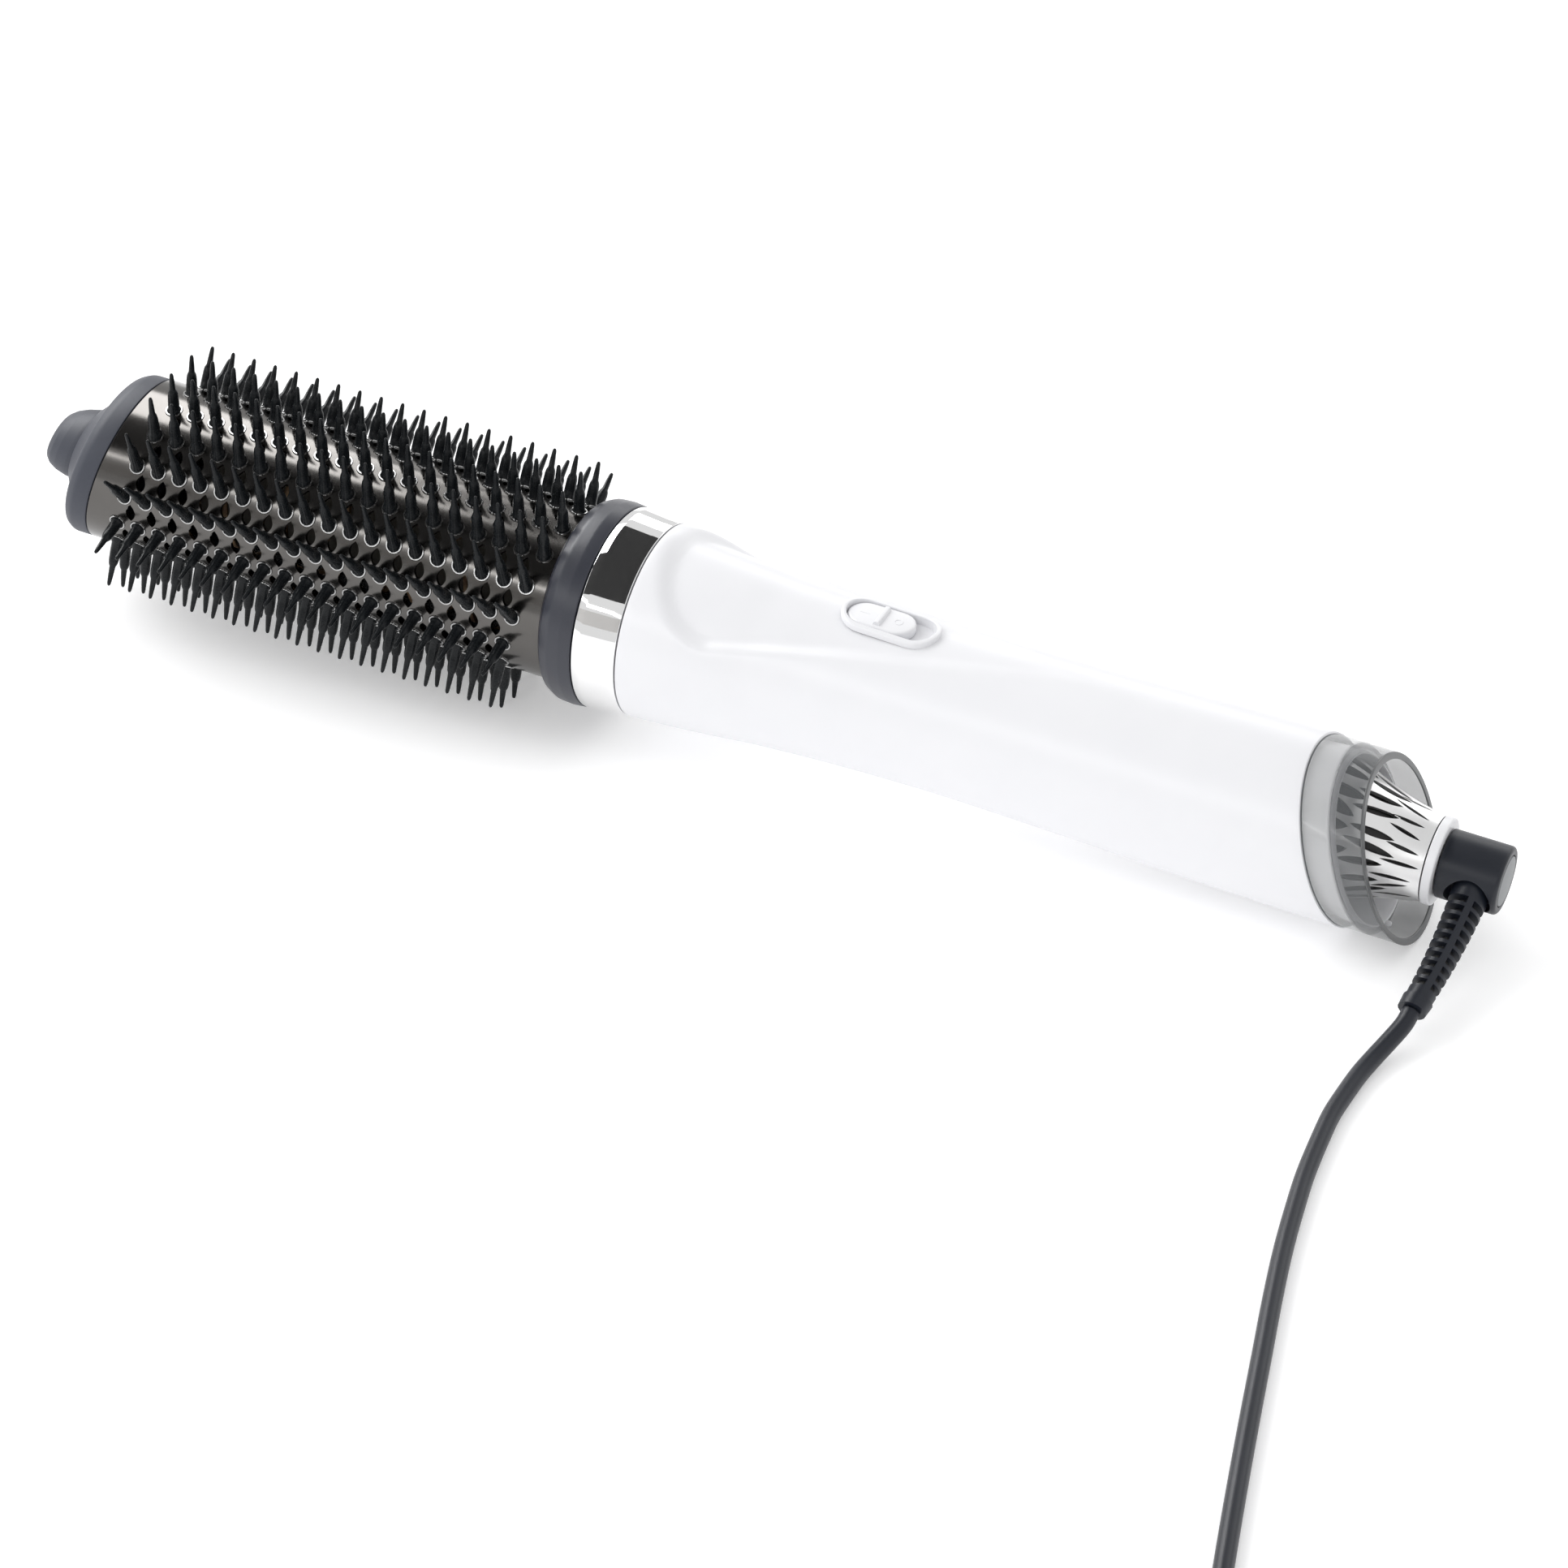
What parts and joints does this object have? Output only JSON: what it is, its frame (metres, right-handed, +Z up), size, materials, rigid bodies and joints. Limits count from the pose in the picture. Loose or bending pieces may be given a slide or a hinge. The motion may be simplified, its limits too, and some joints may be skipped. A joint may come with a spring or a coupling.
{
  "type": "hot air brush",
  "caption": "Electric round hot air brush with rows of radial bristles on a vented metal barrel, a slide switch, a lattice air inlet and a swivelling cord.",
  "frame": {"origin": "on the surface the brush lies on, under the centre of the brush's own bounding box (cord and what is on it left out)", "axes": "+X along the brush from the nose to the cord end, +Z up and towards the slide switch, -Y the side the cord leaves from"},
  "size_m": [0.4472, 0.444, 0.0705],
  "materials": {
    "white_plastic": "satin",
    "slate_plastic": "matte",
    "navy_plastic": "satin",
    "bristle_nylon": "satin",
    "gunmetal": "polished",
    "chrome": "mirror",
    "silver": "satin",
    "clear_plastic": "gloss",
    "smoky_plastic": "gloss",
    "black_rubber": "satin",
    "black_plastic": "matte",
    "grey_plastic": "satin",
    "steel": "brushed",
    "heating_wire": "drawn wire",
    "mica_board": "matte",
    "circuit_board": "matte"
  },
  "bodies": {
    "brush": {"handle_shell": "white_plastic", "switch_bezel": "white_plastic", "swivel_collar": "white_plastic", "nose_cap": "slate_plastic", "cool_tip": "slate_plastic", "barrel_collar": "navy_plastic", "bristle_strip_01": "bristle_nylon", "bristle_strip_02": "bristle_nylon", "bristle_strip_03": "bristle_nylon", "bristle_strip_04": "bristle_nylon", "bristle_strip_05": "bristle_nylon", "bristle_strip_06": "bristle_nylon", "bristle_strip_07": "bristle_nylon", "bristle_strip_08": "bristle_nylon", "bristle_strip_09": "bristle_nylon", "bristle_strip_10": "bristle_nylon", "bristle_strip_11": "bristle_nylon", "bristle_strip_12": "bristle_nylon", "bristle_strip_13": "bristle_nylon", "bristle_strip_14": "bristle_nylon", "bristle_strip_15": "bristle_nylon", "bristle_strip_16": "bristle_nylon", "heat_barrel": "gunmetal", "chrome_ring": "chrome", "intake_cone": "silver", "clear_ring": "clear_plastic", "smoky_ring": "smoky_plastic", "switch_body": "black_plastic", "barrel_mount": "grey_plastic", "fan_housing": "grey_plastic", "motor_mount": "grey_plastic", "contact_block": "grey_plastic", "thermal_cutout": "steel", "fan_motor": "steel", "heater_coil": "heating_wire", "heater_frame": "mica_board", "control_board": "circuit_board"},
    "button": {"switch_button": "white_plastic"},
    "fan": {"fan_impeller": "black_plastic", "motor_shaft": "steel"},
    "swivel": {"swivel_elbow": "black_rubber", "elbow_end_cap": "grey_plastic", "swivel_clip": "steel", "strain_relief": "black_rubber", "cord": "black_rubber", "cord_coil": "black_rubber", "cord_tail": "black_rubber", "plug_body": "black_rubber", "plug_pin_1": "steel", "plug_pin_2": "steel"}
  },
  "joints": [
    {"name": "switch_slide", "type": "slide", "parent": "brush", "child": "button", "axis": [0.9989, 0, -0.0475], "range_m": [0, 0.0045]},
    {"name": "fan_spin", "type": "hinge", "parent": "brush", "child": "fan", "pos_m": [0.1288, 0, 0.02397], "axis": [0.9989, 0, -0.0475], "continuous": true},
    {"name": "cord_swivel", "type": "hinge", "parent": "brush", "child": "swivel", "pos_m": [0.19003, 0, 0.02106], "axis": [0.9989, 0, -0.0475], "continuous": true}
  ]
}
